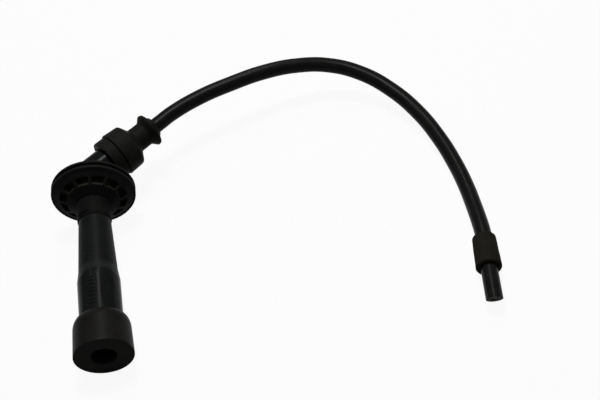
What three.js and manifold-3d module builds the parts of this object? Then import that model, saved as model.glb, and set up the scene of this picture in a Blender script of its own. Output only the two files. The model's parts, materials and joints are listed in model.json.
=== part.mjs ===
// Spark plug wire: an angled plug cap with its well cover and cable boot, and a short ignition cable.
// Lengths are in millimetres, +Z is up, and the part lies on the plane z = 0 as it comes to rest.
// The origin is under the middle of the cap's bounding box.
//
// The cap is built in a frame of its own. Its Y axis is the axis of the spark plug, y = 0 is the
// front rim of the well cover, and the plug's mouth lies at negative y. Places along the barrel are
// given as depths, counted from y = 0 towards the mouth. The cable outlet leaves the elbow towards
// +X, and places along it are given as reaches, counted from the elbow.

import * as THREE from 'three';
import { mergeVertices } from 'three/addons/utils/BufferGeometryUtils.js';
import Module from 'manifold-3d';

const wasm = await Module();
wasm.setup();

// Gap kept between pieces that touch on the real part
const GAP = 0.3;

// Cable, and the places before and past the boot's end through which it runs dead straight
const CABLE_R = 3.5;
const CORE_R = 1.2;
const CABLE_STEPS = 52;
const STRAIGHT_PLACES = [-11, -4, 3, 10];

// Suppression resistor and its end caps
const RESISTOR_R = 2.5;
const RESISTOR_LENGTH = 21.5;
const END_CAP_WALL = 0.5;
const END_CAP_LENGTH = 4.5;
const END_CAP_R = RESISTOR_R + GAP + END_CAP_WALL;

// Bores inside the barrel
const RESISTOR_BORE_R = END_CAP_R + GAP;
const INSULATOR_BORE_R = 6.0;
const CONTACT_SEAT_DEPTH = 47.5;

// Barrel of the cap body, from the neck under the well cover to the end inside the mouth seal
const NECK_WALL = 2.4;
const NECK_R = RESISTOR_BORE_R + NECK_WALL;
const BARREL_WALL = 2.85;
const BARREL_R = INSULATOR_BORE_R + BARREL_WALL;
const WAIST_INSET = 0.75;
const BARREL_WAIST_R = BARREL_R - WAIST_INSET;
const BARREL_TAPER = 1.2;
const BARREL_TOP_R = BARREL_WAIST_R - BARREL_TAPER;
const BARREL_DEPTH = 75;
const BARREL_EDGE = 0.5;
const WAIST_DEPTH = 42.5;
const STEP_LENGTH = 5.3;

// Elbow and cable outlet of the cap body
const ELBOW_HEIGHT = 12.2;
const OUTLET_ANGLE = THREE.MathUtils.degToRad(56.5);
const OUTLET_ROLL = THREE.MathUtils.degToRad(2);
const OUTLET_R = 7.4;
const OUTLET_REACH = 22;
const CABLE_SEAT = 9.2;

// Well cover: sleeve on the neck, a cone from the sleeve's nose out to the front rim, pockets cut
// into the cone with ribs between them, and two rims with a groove between them
const COVER_BORE_R = NECK_R + GAP;
const SLEEVE_WALL = 1.15;
const SLEEVE_R = COVER_BORE_R + SLEEVE_WALL;
const SLEEVE_DEPTH = 15.7;
const NOSE_STEP = 0.45;
const NOSE_R = SLEEVE_R + NOSE_STEP;
const NOSE_DEPTH = 5.9;
const COVER_R = 18.3;
const COVER_THICK = 4.1;
const COVER_RIM = 1.2;
const COVER_RIM_WIDTH = 1.2;
const COVER_GROOVE_DEPTH = 1.3;
const COVER_EDGE = 0.3;
const COVER_BACK_WALL = 2.7;
const COVER_BACK_R = COVER_BORE_R + COVER_BACK_WALL;
const POCKET_COUNT = 12;
const POCKET_MARGIN = 3.7;
const POCKET_OUTER_R = COVER_R - POCKET_MARGIN;
const POCKET_LENGTH = 3.1;
const POCKET_INNER_R = POCKET_OUTER_R - POCKET_LENGTH;
const POCKET_FLOOR = 0.4;
const POCKET_PHASE = THREE.MathUtils.degToRad(-5);
const RIB_WIDTH = 1.3;

// Mouth seal, pushed over the end of the barrel
const SEAL_BORE_R = BARREL_R + GAP;
const SEAL_LAP = 7.8;
const SEAL_DEPTH = BARREL_DEPTH - SEAL_LAP;
const SEAL_LIP = 0.2;
const SEAL_TOP_R = SEAL_BORE_R + SEAL_LIP;
const SEAL_WALL = 2.5;
const SEAL_SHOULDER_R = SEAL_BORE_R + SEAL_WALL;
const SEAL_SHOULDER_LENGTH = 5;
const MOUTH_FLARE = 0.4;
const MOUTH_R = SEAL_SHOULDER_R + MOUTH_FLARE;
const MOUTH_EDGE = 0.2;
const MOUTH_WALL = 9;
const MOUTH_DEPTH = BARREL_DEPTH + GAP + MOUTH_WALL;
const MOUTH_HOLE_R = 5.2;
const MOUTH_HOLE_EDGE = 0.6;

// Cable boot, from the end over the outlet to the lip round the cable
const BOOT_COLLAR_LENGTH = 5.4;
const BOOT_BODY_LENGTH = 8.2;
const BOOT_OVERHANG = 0.8;
const BOOT_CONE_LENGTH = 2.8;
const BOOT_NECK_LENGTH = 6.1;
const BOOT_FLARE_LENGTH = 2.7;
const BOOT_LIP_LENGTH = 2.6;
const BOOT_CORNER_REACH = OUTLET_REACH + BOOT_OVERHANG;
const BOOT_STEP_REACH = BOOT_CORNER_REACH - BOOT_BODY_LENGTH;
const BOOT_REACH = BOOT_STEP_REACH - BOOT_COLLAR_LENGTH;
const BOOT_NECK_REACH = BOOT_CORNER_REACH + BOOT_CONE_LENGTH;
const BOOT_FLARE_REACH = BOOT_NECK_REACH + BOOT_NECK_LENGTH;
const BOOT_LIP_REACH = BOOT_FLARE_REACH + BOOT_FLARE_LENGTH;
const BOOT_END_REACH = BOOT_LIP_REACH + BOOT_LIP_LENGTH;
const BOOT_COLLAR_WALL = 2.2;
const BOOT_COLLAR_R = OUTLET_R + GAP + BOOT_COLLAR_WALL;
const BOOT_STEP = 0.65;
const BOOT_BODY_R = BOOT_COLLAR_R + BOOT_STEP;
const BOOT_TAPER = 0.5;
const BOOT_CORNER_R = BOOT_BODY_R - BOOT_TAPER;
const BOOT_NECK_WALL = 1.95;
const BOOT_NECK_R = CABLE_R + GAP + BOOT_NECK_WALL;
const BOOT_NECK_TAPER = 0.1;
const BOOT_FLARE_R = BOOT_NECK_R - BOOT_NECK_TAPER;
const BOOT_LIP_HEIGHT = 1.95;
const BOOT_LIP_R = BOOT_FLARE_R + BOOT_LIP_HEIGHT;
const BOOT_LIP_ROUND = 2.9;
const BOOT_END_R = BOOT_LIP_R - BOOT_LIP_ROUND;
const BOOT_EDGE = 0.4;

// Plug contact, its socket and the clip in the socket's groove
const SOCKET_R = 3.3;
const SOCKET_DEPTH = 9.6;
const CONTACT_WALL = 1.5;
const CONTACT_R = SOCKET_R + CONTACT_WALL;
const CONTACT_LENGTH = 12.2;
const CONTACT_PLAY = 0.4;
const CONTACT_FLANGE_R = INSULATOR_BORE_R - CONTACT_PLAY;
const CONTACT_FLANGE = 1.3;
const CONTACT_STEM_R = 3.0;
const CONTACT_STEM = 2.6;
const CLIP_WIRE_R = 0.35;
const CLIP_GRIP = 0.15;
const CLIP_R = SOCKET_R + CLIP_WIRE_R - CLIP_GRIP;
const CLIP_DEPTH = 3.4;
const CLIP_OPENING = THREE.MathUtils.degToRad(60);

// Spring between the resistor and the bush in the elbow
const SPRING_LENGTH = 10.5;
const SPRING_WIRE_R = 0.4;
const SPRING_TURNS = 6;
const BUSH_R = RESISTOR_BORE_R - GAP;
const BUSH_RISE = 2.8;
const BUSH_TOP = ELBOW_HEIGHT + BUSH_RISE;

// Screw that stands in the bush and enters the cable's core
const SCREW_SHANK_R = 1.5;
const SCREW_THREAD_R = CORE_R;
const SCREW_POINT = 2;
const SCREW_BITE = 9.8;
const SCREW_REACH = CABLE_SEAT + SCREW_BITE;

// Sleeve near the cable's free end
const COIL_SLEEVE_PLAY = 0.35;
const COIL_SLEEVE_BORE_R = CABLE_R + COIL_SLEEVE_PLAY;
const COIL_SLEEVE_WALL = 1.1;
const COIL_SLEEVE_R = COIL_SLEEVE_BORE_R + COIL_SLEEVE_WALL;
const COIL_SLEEVE_FLARE = 0.45;
const COIL_SLEEVE_END_R = COIL_SLEEVE_R + COIL_SLEEVE_FLARE;
const COIL_SLEEVE_LENGTH = 16.5;
const COIL_SLEEVE_CHAMFER = 1.5;
const COIL_SLEEVE_LIP = 0.15;
const COIL_SLEEVE_FROM_END = 17.5;

// How far a cut runs past the face that it opens through
const CUT_PAST = 1;

// Facets around each kind of round piece
const WIDE_SIDES = 60;
const ROUND_SIDES = 40;
const SMALL_SIDES = 20;
const CABLE_SIDES = 12;
const CORE_SIDES = 8;
const WIRE_SIDES = 6;

// Points along rounded stretches: the seal's shoulder, the boot's lip, the clip and a spring turn
const SHOULDER_STEPS = 6;
const LIP_SHARES = [0.25, 0.5, 0.75];
const CLIP_POINTS = 16;
const SPRING_POINTS = 10;

// Places along the free cable, from its first bend to its cut end. It sags from the boot to the
// floor, lies there, and its last stretch is straight where the coil sleeve holds it off the floor.
// The stretch inside the cap and straight out of the boot is worked out from the outlet.
const CABLE_POINTS = [
  [45.7, 68.1, 23.1],
  [60.8, 73.1, 22.8],
  [76.3, 77.2, 22.0],
  [92.1, 79.4, 20.0],
  [107.7, 78.0, 17.1],
  [121.8, 71.1, 13.8],
  [133.3, 60.0, 10.0],
  [142.1, 45.1, 7.0],
  [147.9, 28.2, 4.9],
  [151.4, 10.0, 3.7],
  [152.7, -4.5, 3.6],
  [152.9, -14.5, 3.9],
  [152.8, -23.8, 4.7],
  [152.4, -33.0, 5.4],
  [150.95, -44.7, 5.4],
  [149.5, -56.4, 5.4],
  [147.89, -69.4, 5.4],
];

const RUBBER = { color: 0x1c1b19, roughness: 0.62, metalness: 0 };
const SEAL_RUBBER = { color: 0x262523, roughness: 0.55, metalness: 0 };
const SLEEVE_RUBBER = { color: 0x211d19, roughness: 0.75, metalness: 0 };
const MOULDING = { color: 0x1f2021, roughness: 0.3, metalness: 0 };
const CABLE_JACKET = { color: 0x151515, roughness: 0.42, metalness: 0 };
const CARBON = { color: 0x2c2c2e, roughness: 0.7, metalness: 0 };
const BRASS = { color: 0xb08d45, roughness: 0.35, metalness: 1 };
const STEEL = { color: 0xa6a8ab, roughness: 0.35, metalness: 1 };
const CERAMIC = { color: 0xd8d2c4, roughness: 0.6, metalness: 0 };

function named(name, geometry, look) {
  const mesh = new THREE.Mesh(geometry, new THREE.MeshStandardMaterial(look));
  mesh.name = name;
  return mesh;
}

// A turned solid from [radius, y] points, about the Y axis
function turned(points, sides) {
  return new THREE.LatheGeometry(points.map(([r, y]) => new THREE.Vector2(r, y)), sides);
}

// A turned ring or tube: the profile closes on itself
function turnedRing(points, sides) {
  return turned([...points, points[0]], sides);
}

// A plain cylinder from y = low to y = high
function rod(radius, low, high, sides) {
  return turned([[0, low], [radius, low], [radius, high], [0, high]], sides);
}

function toSolid(geometry) {
  const bare = geometry.clone();
  bare.deleteAttribute('normal');
  bare.deleteAttribute('uv');
  const merged = mergeVertices(bare, 1e-4);
  return new wasm.Manifold(new wasm.Mesh({
    numProp: 3,
    vertProperties: new Float32Array(merged.attributes.position.array),
    triVerts: new Uint32Array(merged.index.array),
  }));
}

function toGeometry(solid) {
  const mesh = solid.getMesh();
  const geometry = new THREE.BufferGeometry();
  geometry.setAttribute('position', new THREE.BufferAttribute(new Float32Array(mesh.vertProperties), 3));
  geometry.setIndex(new THREE.BufferAttribute(new Uint32Array(mesh.triVerts), 1));
  geometry.computeVertexNormals();
  return geometry;
}

// Geometry made about the Y axis, carried to the elbow and turned along the outlet
function alongOutlet(geometry) {
  return geometry.rotateZ(-OUTLET_ANGLE).translate(0, ELBOW_HEIGHT, 0);
}

// A round bar swept along a curve, with a round hole through it if a hole radius is given
function swept(curve, radius, sides, steps, holeRadius = 0, holeSides = sides) {
  const section = new THREE.Shape(circlePoints(radius, sides));
  if (holeRadius > 0) {
    section.holes.push(new THREE.Path(circlePoints(holeRadius, holeSides).reverse()));
  }
  return new THREE.ExtrudeGeometry(section, { extrudePath: curve, steps, bevelEnabled: false });
}

function circlePoints(radius, sides) {
  return Array.from({ length: sides }, (_, i) => {
    const angle = (2 * Math.PI * i) / sides;
    return new THREE.Vector2(radius * Math.cos(angle), radius * Math.sin(angle));
  });
}

function capBody() {
  const stepDepth = WAIST_DEPTH + STEP_LENGTH;
  const shoulderDepth = SLEEVE_DEPTH + GAP;
  const barrel = turned([
    [0, -BARREL_DEPTH],
    [BARREL_R - BARREL_EDGE, -BARREL_DEPTH],
    [BARREL_R, -BARREL_DEPTH + BARREL_EDGE],
    [BARREL_R, -stepDepth],
    [BARREL_WAIST_R, -WAIST_DEPTH],
    [BARREL_TOP_R, -shoulderDepth],
    [NECK_R, -shoulderDepth],
    [NECK_R, ELBOW_HEIGHT],
    [0, ELBOW_HEIGHT],
  ], ROUND_SIDES);
  const elbow = new THREE.SphereGeometry(OUTLET_R, ROUND_SIDES, ROUND_SIDES / 2);
  elbow.translate(0, ELBOW_HEIGHT, 0);
  const outlet = alongOutlet(rod(OUTLET_R, 0, OUTLET_REACH, ROUND_SIDES));
  const plugBore = turned([
    [0, -BARREL_DEPTH - CUT_PAST],
    [INSULATOR_BORE_R, -BARREL_DEPTH - CUT_PAST],
    [INSULATOR_BORE_R, -CONTACT_SEAT_DEPTH],
    [CONTACT_R + GAP, -CONTACT_SEAT_DEPTH],
    [CONTACT_R + GAP, -contactTop() + GAP],
    [RESISTOR_BORE_R, -contactTop() + GAP],
    [RESISTOR_BORE_R, BUSH_TOP + GAP],
    [0, BUSH_TOP + GAP],
  ], ROUND_SIDES);
  const cableBore = alongOutlet(rod(CABLE_R + GAP, CABLE_SEAT, OUTLET_REACH + CUT_PAST, SMALL_SIDES));
  const screwHole = alongOutlet(rod(SCREW_SHANK_R + GAP, 0, CABLE_SEAT + CUT_PAST, SMALL_SIDES));
  return toGeometry(toSolid(barrel)
    .add(toSolid(elbow))
    .add(toSolid(outlet))
    .subtract(toSolid(plugBore))
    .subtract(toSolid(cableBore))
    .subtract(toSolid(screwHole)));
}

// Depth at which the plug contact's wide part ends
function contactTop() {
  return CONTACT_SEAT_DEPTH + GAP - CONTACT_LENGTH;
}

// Depth of the contact's stem, which carries the resistor
function contactStemDepth() {
  return contactTop() - CONTACT_STEM;
}

function wellCover() {
  const backTop = coverBackTop();
  const disc = turnedRing([
    [COVER_BORE_R, -SLEEVE_DEPTH],
    [SLEEVE_R, -SLEEVE_DEPTH],
    [SLEEVE_R, -NOSE_DEPTH - COVER_EDGE],
    [NOSE_R, -NOSE_DEPTH],
    [COVER_R - COVER_RIM_WIDTH, 0],
    [COVER_R - COVER_EDGE, 0],
    [COVER_R, COVER_EDGE],
    [COVER_R, COVER_RIM],
    [COVER_R - COVER_GROOVE_DEPTH, COVER_RIM + COVER_EDGE],
    [COVER_R - COVER_GROOVE_DEPTH, COVER_THICK - COVER_RIM - COVER_EDGE],
    [COVER_R, COVER_THICK - COVER_RIM],
    [COVER_R, COVER_THICK - COVER_EDGE],
    [COVER_R - COVER_EDGE, COVER_THICK],
    [COVER_BACK_R, COVER_THICK],
    [COVER_BACK_R, backTop - COVER_EDGE],
    [COVER_BACK_R - COVER_EDGE, backTop],
    [COVER_BORE_R, backTop],
  ], WIDE_SIDES);
  let solid = toSolid(disc);
  for (let i = 0; i < POCKET_COUNT; i += 1) {
    const angle = POCKET_PHASE + (2 * Math.PI * i) / POCKET_COUNT;
    solid = solid.subtract(toSolid(pocket().rotateY(angle)));
  }
  return toGeometry(solid);
}

// Top of the cover's back collar, which the bulge of the elbow holds in place
function coverBackTop() {
  return ELBOW_HEIGHT - Math.sqrt(OUTLET_R ** 2 - NECK_R ** 2) - GAP;
}

// One pocket of the cover's face: a sector between two ribs, open towards the mouth
function pocket() {
  const half = Math.PI / POCKET_COUNT;
  const inner = half - RIB_WIDTH / 2 / POCKET_INNER_R;
  const outer = half - RIB_WIDTH / 2 / POCKET_OUTER_R;
  const sector = new THREE.Shape();
  sector.absarc(0, 0, POCKET_OUTER_R, -outer, outer, false);
  sector.absarc(0, 0, POCKET_INNER_R, inner, -inner, true);
  const height = POCKET_FLOOR + NOSE_DEPTH + CUT_PAST;
  const block = new THREE.ExtrudeGeometry(sector, { depth: height, bevelEnabled: false, curveSegments: 4 });
  return block.rotateX(Math.PI / 2).translate(0, POCKET_FLOOR, 0);
}

function mouthSeal() {
  const shoulder = Array.from({ length: SHOULDER_STEPS + 1 }, (_, i) => {
    const angle = (Math.PI / 2) * (i / SHOULDER_STEPS);
    return [
      SEAL_TOP_R + (SEAL_SHOULDER_R - SEAL_TOP_R) * Math.sin(angle),
      -SEAL_DEPTH - SEAL_SHOULDER_LENGTH * (1 - Math.cos(angle)),
    ];
  });
  return turnedRing([
    [MOUTH_HOLE_R + MOUTH_HOLE_EDGE, -MOUTH_DEPTH],
    [MOUTH_R - MOUTH_EDGE, -MOUTH_DEPTH],
    [MOUTH_R, -MOUTH_DEPTH + MOUTH_EDGE],
    ...shoulder.reverse(),
    [SEAL_BORE_R, -SEAL_DEPTH],
    [SEAL_BORE_R, -BARREL_DEPTH - GAP],
    [MOUTH_HOLE_R, -BARREL_DEPTH - GAP],
    [MOUTH_HOLE_R, -MOUTH_DEPTH + MOUTH_HOLE_EDGE],
  ], ROUND_SIDES);
}

function cableBoot() {
  const flare = LIP_SHARES.map((share) => [
    BOOT_LIP_R - BOOT_LIP_HEIGHT * Math.sqrt(1 - share * share),
    BOOT_FLARE_REACH + BOOT_FLARE_LENGTH * share,
  ]);
  const round = LIP_SHARES.map((share) => [
    BOOT_END_R + BOOT_LIP_ROUND * Math.sqrt(1 - share * share),
    BOOT_LIP_REACH + BOOT_LIP_LENGTH * share,
  ]);
  return alongOutlet(turnedRing([
    [OUTLET_R + GAP, BOOT_REACH],
    [BOOT_COLLAR_R - BOOT_EDGE, BOOT_REACH],
    [BOOT_COLLAR_R, BOOT_REACH + BOOT_EDGE],
    [BOOT_COLLAR_R, BOOT_STEP_REACH],
    [BOOT_BODY_R - BOOT_EDGE, BOOT_STEP_REACH],
    [BOOT_BODY_R, BOOT_STEP_REACH + BOOT_EDGE],
    [BOOT_CORNER_R, BOOT_CORNER_REACH - BOOT_EDGE],
    [BOOT_CORNER_R - BOOT_EDGE, BOOT_CORNER_REACH],
    [BOOT_NECK_R, BOOT_NECK_REACH],
    [BOOT_FLARE_R, BOOT_FLARE_REACH],
    ...flare,
    [BOOT_LIP_R, BOOT_LIP_REACH],
    ...round,
    [BOOT_END_R, BOOT_END_REACH],
    [CABLE_R + GAP, BOOT_END_REACH],
    [CABLE_R + GAP, OUTLET_REACH + GAP],
    [OUTLET_R + GAP, OUTLET_REACH + GAP],
  ], ROUND_SIDES));
}

function plugContact() {
  const mouth = -CONTACT_SEAT_DEPTH - GAP - CONTACT_FLANGE;
  const groove = CLIP_WIRE_R + GAP;
  return turned([
    [0, mouth + SOCKET_DEPTH],
    [SOCKET_R, mouth + SOCKET_DEPTH],
    [SOCKET_R, mouth + CLIP_DEPTH + groove],
    [CLIP_R + groove, mouth + CLIP_DEPTH + groove],
    [CLIP_R + groove, mouth + CLIP_DEPTH - groove],
    [SOCKET_R, mouth + CLIP_DEPTH - groove],
    [SOCKET_R, mouth],
    [CONTACT_FLANGE_R, mouth],
    [CONTACT_FLANGE_R, mouth + CONTACT_FLANGE],
    [CONTACT_R, mouth + CONTACT_FLANGE],
    [CONTACT_R, -contactTop()],
    [CONTACT_STEM_R, -contactTop()],
    [CONTACT_STEM_R, -contactStemDepth()],
    [0, -contactStemDepth()],
  ], ROUND_SIDES);
}

function plugClip() {
  const y = -CONTACT_SEAT_DEPTH - GAP - CONTACT_FLANGE + CLIP_DEPTH;
  const points = Array.from({ length: CLIP_POINTS + 1 }, (_, i) => {
    const angle = CLIP_OPENING / 2 + (2 * Math.PI - CLIP_OPENING) * (i / CLIP_POINTS);
    return new THREE.Vector3(CLIP_R * Math.cos(angle), y, CLIP_R * Math.sin(angle));
  });
  return swept(new THREE.CatmullRomCurve3(points), CLIP_WIRE_R, WIRE_SIDES, 2 * CLIP_POINTS);
}

// Bottom of the stack that stands on the contact's stem
function resistorBase() {
  return -contactStemDepth() + GAP;
}

function resistorRod() {
  const low = resistorBase() + END_CAP_WALL + GAP;
  return rod(RESISTOR_R, low, low + RESISTOR_LENGTH, SMALL_SIDES);
}

// A drawn metal cup; its floor is at y = 0 and it opens towards +Y
function endCap() {
  const innerR = END_CAP_R - END_CAP_WALL;
  return turned([
    [0, 0],
    [END_CAP_R, 0],
    [END_CAP_R, END_CAP_LENGTH],
    [innerR, END_CAP_LENGTH],
    [innerR, END_CAP_WALL],
    [0, END_CAP_WALL],
  ], SMALL_SIDES);
}

function resistorTop() {
  return resistorBase() + RESISTOR_LENGTH + 2 * (END_CAP_WALL + GAP);
}

function contactSpring() {
  const meanR = RESISTOR_R - SPRING_WIRE_R;
  const low = resistorTop() + GAP + SPRING_WIRE_R;
  const rise = SPRING_LENGTH - 2 * (GAP + SPRING_WIRE_R);
  const count = SPRING_TURNS * SPRING_POINTS;
  const points = Array.from({ length: count + 1 }, (_, i) => {
    const angle = (2 * Math.PI * i) / SPRING_POINTS;
    return new THREE.Vector3(meanR * Math.cos(angle), low + (rise * i) / count, meanR * Math.sin(angle));
  });
  return swept(new THREE.CatmullRomCurve3(points), SPRING_WIRE_R, WIRE_SIDES, count);
}

function outletBush() {
  const bush = rod(BUSH_R, resistorTop() + SPRING_LENGTH, BUSH_TOP, SMALL_SIDES);
  const screwSeat = alongOutlet(rod(SCREW_SHANK_R + GAP, -GAP, CABLE_SEAT, SMALL_SIDES));
  return toGeometry(toSolid(bush).subtract(toSolid(screwSeat)));
}

function cableScrew() {
  return alongOutlet(turned([
    [0, 0],
    [SCREW_SHANK_R, 0],
    [SCREW_SHANK_R, CABLE_SEAT],
    [SCREW_THREAD_R, CABLE_SEAT],
    [SCREW_THREAD_R, SCREW_REACH - SCREW_POINT],
    [0, SCREW_REACH],
  ], SMALL_SIDES));
}

function coilSleeve() {
  return turnedRing([
    [COIL_SLEEVE_BORE_R, 0],
    [COIL_SLEEVE_BORE_R + COIL_SLEEVE_LIP, 0],
    [COIL_SLEEVE_R, COIL_SLEEVE_CHAMFER],
    [COIL_SLEEVE_END_R, COIL_SLEEVE_LENGTH - COIL_SLEEVE_CHAMFER],
    [COIL_SLEEVE_BORE_R + COIL_SLEEVE_LIP, COIL_SLEEVE_LENGTH],
    [COIL_SLEEVE_BORE_R, COIL_SLEEVE_LENGTH],
  ], SMALL_SIDES);
}

function buildCap() {
  const cap = new THREE.Group();
  cap.add(
    named('cap_body', capBody(), MOULDING),
    named('well_cover', wellCover(), RUBBER),
    named('mouth_seal', mouthSeal(), SEAL_RUBBER),
    named('cable_boot', cableBoot(), RUBBER),
    named('plug_contact', plugContact(), BRASS),
    named('plug_clip', plugClip(), STEEL),
    named('resistor_rod', resistorRod(), CERAMIC),
    named('resistor_cap_lower', endCap().translate(0, resistorBase(), 0), STEEL),
    named('resistor_cap_upper', endCap().rotateX(Math.PI).translate(0, resistorTop(), 0), STEEL),
    named('contact_spring', contactSpring(), STEEL),
    named('outlet_bush', outletBush(), BRASS),
    named('cable_screw', cableScrew(), BRASS),
  );
  // The cap lies on the well cover's front rim and the mouth's rim, so the mouth is the lower end
  const tilt = Math.atan((COVER_R - MOUTH_R) / MOUTH_DEPTH);
  cap.rotation.set(tilt, -OUTLET_ROLL, 0);
  const box = new THREE.Box3().setFromObject(cap, true);
  const middle = box.getCenter(new THREE.Vector3());
  cap.position.set(-middle.x, -middle.y, -box.min.z);
  cap.updateMatrixWorld(true);
  return cap;
}

// Path of the cable from a given reach in the outlet to the cut end
function cablePath(cap, fromReach) {
  const straight = STRAIGHT_PLACES.map((place) => BOOT_END_REACH + place);
  const direction = new THREE.Vector3(Math.sin(OUTLET_ANGLE), Math.cos(OUTLET_ANGLE), 0);
  const points = [fromReach, ...straight].map((reach) => (
    cap.localToWorld(new THREE.Vector3(0, ELBOW_HEIGHT, 0).addScaledVector(direction, reach))
  ));
  points.push(...CABLE_POINTS.map((place) => new THREE.Vector3(...place)));
  return new THREE.CatmullRomCurve3(points);
}

function buildCable(cap) {
  const cable = new THREE.Group();
  const jacketPath = cablePath(cap, CABLE_SEAT + GAP);
  const jacket = swept(jacketPath, CABLE_R, CABLE_SIDES, CABLE_STEPS, CORE_R + GAP, CORE_SIDES);
  const core = swept(cablePath(cap, SCREW_REACH + GAP), CORE_R, CORE_SIDES, CABLE_STEPS);
  const sleeve = named('coil_sleeve', coilSleeve(), SLEEVE_RUBBER);
  const [tailStart, tailEnd] = CABLE_POINTS.slice(-2).map((place) => new THREE.Vector3(...place));
  const along = tailEnd.clone().sub(tailStart).normalize();
  sleeve.quaternion.setFromUnitVectors(new THREE.Vector3(0, 1, 0), along);
  sleeve.position.copy(tailEnd).addScaledVector(along, -COIL_SLEEVE_FROM_END - COIL_SLEEVE_LENGTH);
  cable.add(
    named('cable_jacket', jacket, CABLE_JACKET),
    named('cable_core', core, CARBON),
    sleeve,
  );
  return cable;
}

const group = new THREE.Group();
const cap = buildCap();
group.add(cap, buildCable(cap));

export default group;
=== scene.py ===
"""Spark plug wire: fine shapes and finishes for an angled plug cap on a short ignition cable.

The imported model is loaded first, and every piece is made in its frame, in metres. The cap's pieces
are turned about the plug's axis or about the cable outlet's axis, and then carried to the cap's place.
"""

import json
import math

import bpy
from bpy.props import FloatProperty, FloatVectorProperty, IntProperty, PointerProperty
from mathutils import Matrix, Vector

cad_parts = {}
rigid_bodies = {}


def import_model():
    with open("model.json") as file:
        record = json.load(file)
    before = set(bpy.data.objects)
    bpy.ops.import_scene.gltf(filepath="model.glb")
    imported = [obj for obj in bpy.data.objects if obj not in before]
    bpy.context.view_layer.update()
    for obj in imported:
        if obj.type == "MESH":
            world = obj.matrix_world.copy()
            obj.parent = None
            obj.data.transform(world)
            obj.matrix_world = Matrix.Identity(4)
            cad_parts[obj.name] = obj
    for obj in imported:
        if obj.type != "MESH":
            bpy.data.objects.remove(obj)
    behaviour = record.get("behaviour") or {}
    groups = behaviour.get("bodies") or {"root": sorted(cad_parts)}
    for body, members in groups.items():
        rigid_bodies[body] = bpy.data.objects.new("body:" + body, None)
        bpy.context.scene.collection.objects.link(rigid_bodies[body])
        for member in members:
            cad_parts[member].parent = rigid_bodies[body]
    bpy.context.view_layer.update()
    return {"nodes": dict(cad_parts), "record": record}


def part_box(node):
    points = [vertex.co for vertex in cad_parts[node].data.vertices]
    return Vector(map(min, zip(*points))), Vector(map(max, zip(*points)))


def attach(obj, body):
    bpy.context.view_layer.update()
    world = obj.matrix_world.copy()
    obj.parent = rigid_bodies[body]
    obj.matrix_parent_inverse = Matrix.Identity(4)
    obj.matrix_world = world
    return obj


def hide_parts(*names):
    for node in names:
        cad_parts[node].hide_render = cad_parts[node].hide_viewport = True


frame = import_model()

bl_info = {
    "name": "Spark Plug Wire",
    "version": (1, 0, 0),
    "blender": (4, 5, 0),
    "location": "View3D > Sidebar > Plug Wire",
    "description": "Builds the fine shapes and finishes of an angled plug cap on a short cable",
    "category": "Object",
}

MM = 0.001
DEG = math.pi / 180

# Clearance between a rubber piece and what it sits on
GAP = 0.3 * MM

# How finely round pieces are turned, the longest step along an outline, how near points are joined,
# and the flattest edge that stays sharp
AROUND = 96
CORNER_STEPS = 4
LONGEST_STEP = 1.6 * MM
WELD = 0.002 * MM
SMOOTH_ANGLE = 32 * DEG

# Places along the cable. The first five are worked out from the outlet: the cable's seat and four
# places on the straight stretch about the boot's end. The others are as in the part's source.
CABLE_SEAT = 9.5 * MM
BOOT_END_REACH = 37 * MM
STRAIGHT_PLACES = (-11 * MM, -4 * MM, 3 * MM, 10 * MM)
CABLE_POINTS = (
    (0.0457, 0.0681, 0.0231),
    (0.0608, 0.0731, 0.0228),
    (0.0763, 0.0772, 0.0220),
    (0.0921, 0.0794, 0.0200),
    (0.1077, 0.0780, 0.0171),
    (0.1218, 0.0711, 0.0138),
    (0.1333, 0.0600, 0.0100),
    (0.1421, 0.0451, 0.0070),
    (0.1479, 0.0282, 0.0049),
    (0.1514, 0.0100, 0.0037),
    (0.1527, -0.0045, 0.0036),
    (0.1529, -0.0145, 0.0039),
    (0.1528, -0.0238, 0.0047),
    (0.1524, -0.0330, 0.0054),
    (0.15095, -0.0447, 0.0054),
    (0.1495, -0.0564, 0.0054),
    (0.14789, -0.0694, 0.0054),
)


def length(name, description, value):
    """A length property; its default is given in mm."""
    return FloatProperty(name=name, description=description, default=value * MM, unit="LENGTH")


def angle(name, description, value):
    """An angle property; its default is given in degrees."""
    return FloatProperty(name=name, description=description, default=value * DEG, subtype="ANGLE")


def colour(name, description, value):
    """A colour property with linear values."""
    return FloatVectorProperty(
        name=name, description=description, default=value, size=3, min=0, max=1, subtype="COLOR"
    )


class PlugCapSizes(bpy.types.PropertyGroup):
    """Sizes of the hard cap body, with depths along the barrel counted from the cover's front"""

    barrel_radius: length("Barrel radius", "Radius of the lower barrel", 8.97)
    waist_radius: length("Waist radius", "Radius of the upper barrel above the step", 8.22)
    top_radius: length("Top radius", "Radius of the upper barrel at the cover's sleeve", 7.0)
    neck_radius: length("Neck radius", "Radius of the neck under the cover", 6)
    barrel_depth: length("Barrel depth", "Depth of the barrel's end", 75)
    waist_depth: length("Waist depth", "Depth at which the conical step starts", 42.5)
    step_length: length("Step length", "Length of the conical step", 5.3)
    bore_radius: length("Bore radius", "Radius of the bore for the plug's insulator", 6)
    resistor_bore: length("Resistor bore", "Radius of the bore for the resistor", 3.6)
    elbow_height: length("Elbow height", "Height of the elbow above the cover's front", 12.2)
    outlet_radius: length("Outlet radius", "Outer radius of the cable outlet", 7.4)
    outlet_reach: length("Outlet reach", "Distance from the elbow to the outlet's end", 22)
    outlet_angle: angle("Outlet angle", "Angle between the plug's axis and the cable outlet", 56.5)
    outlet_roll: angle("Outlet roll", "Turn of the outlet about the plug's axis, up from the floor", 2)
    bar_count: IntProperty(name="Bars", description="Raised bars on the lower barrel", default=8, min=0)
    bar_pitch: length("Bar pitch", "Distance from one raised bar to the next", 1.9)


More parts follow.
